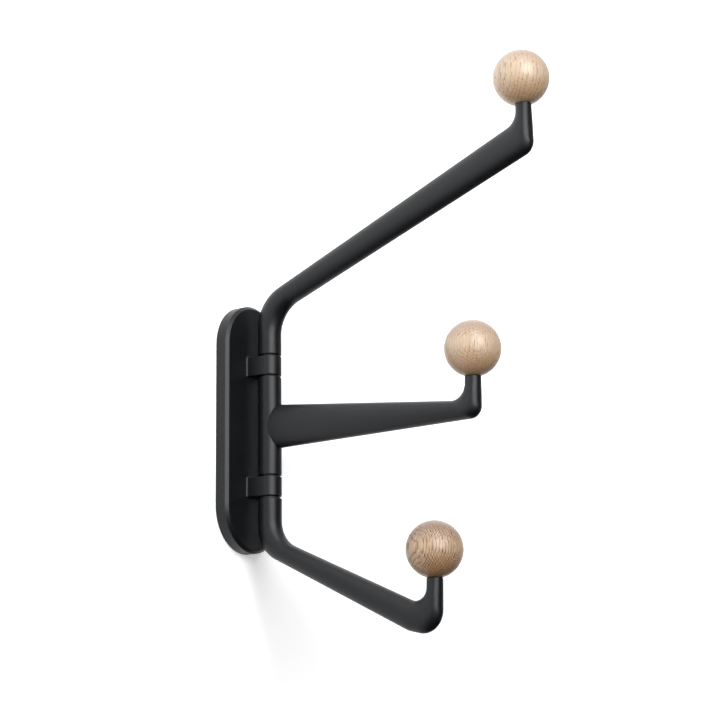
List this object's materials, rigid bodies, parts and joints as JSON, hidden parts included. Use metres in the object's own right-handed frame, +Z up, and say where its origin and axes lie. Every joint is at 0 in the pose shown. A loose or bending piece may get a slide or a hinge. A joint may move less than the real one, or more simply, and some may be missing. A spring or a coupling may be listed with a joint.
{
  "type": "coat hook",
  "caption": "Wall coat hook: arms on one upright pivot swing left and right, each ending in an upturned stem with a wooden ball.",
  "frame": {"origin": "centre of the wall plate's back, on the wall", "axes": "+Z up, -Y out of the wall towards the room, +X to the right for someone who faces the wall"},
  "size_m": [0.053, 0.2124, 0.322],
  "materials": {
    "charcoal_coat": "fine matte powder coat",
    "oak": "satin clear lacquer on pale oak",
    "steel": "plain turned steel",
    "zinc_plated_steel": "zinc plated",
    "brass": "plain turned brass",
    "dark_plastic": "plain black moulded plastic"
  },
  "bodies": {
    "wall": {"wall_plate": "charcoal_coat", "wall_bracket": "zinc_plated_steel", "plate_lock_screw": "steel", "pivot_pin": "steel"},
    "upper_swing_arm": {"upper_arm": "charcoal_coat", "upper_arm_bush": "dark_plastic", "upper_arm_keeper": "steel", "upper_ball": "oak", "upper_insert": "brass", "upper_stud": "steel"},
    "middle_swing_arm": {"middle_arm": "charcoal_coat", "middle_arm_top_bush": "dark_plastic", "middle_arm_bottom_bush": "dark_plastic", "middle_ball": "oak", "middle_insert": "brass", "middle_stud": "steel"},
    "lower_swing_arm": {"lower_arm": "charcoal_coat", "lower_arm_bush": "dark_plastic", "lower_arm_keeper": "steel", "lower_ball": "oak", "lower_insert": "brass", "lower_stud": "steel"}
  },
  "joints": [
    {"name": "upper_swing", "type": "hinge", "parent": "wall", "child": "upper_swing_arm", "pos_m": [0, -0.01955, 0.042], "axis": [0, 0, 1], "range_deg": [-90, 90]},
    {"name": "middle_swing", "type": "hinge", "parent": "wall", "child": "middle_swing_arm", "pos_m": [0, -0.01955, 0], "axis": [0, 0, 1], "range_deg": [-90, 90]},
    {"name": "lower_swing", "type": "hinge", "parent": "wall", "child": "lower_swing_arm", "pos_m": [0, -0.01955, -0.042], "axis": [0, 0, 1], "range_deg": [-90, 90]}
  ]
}
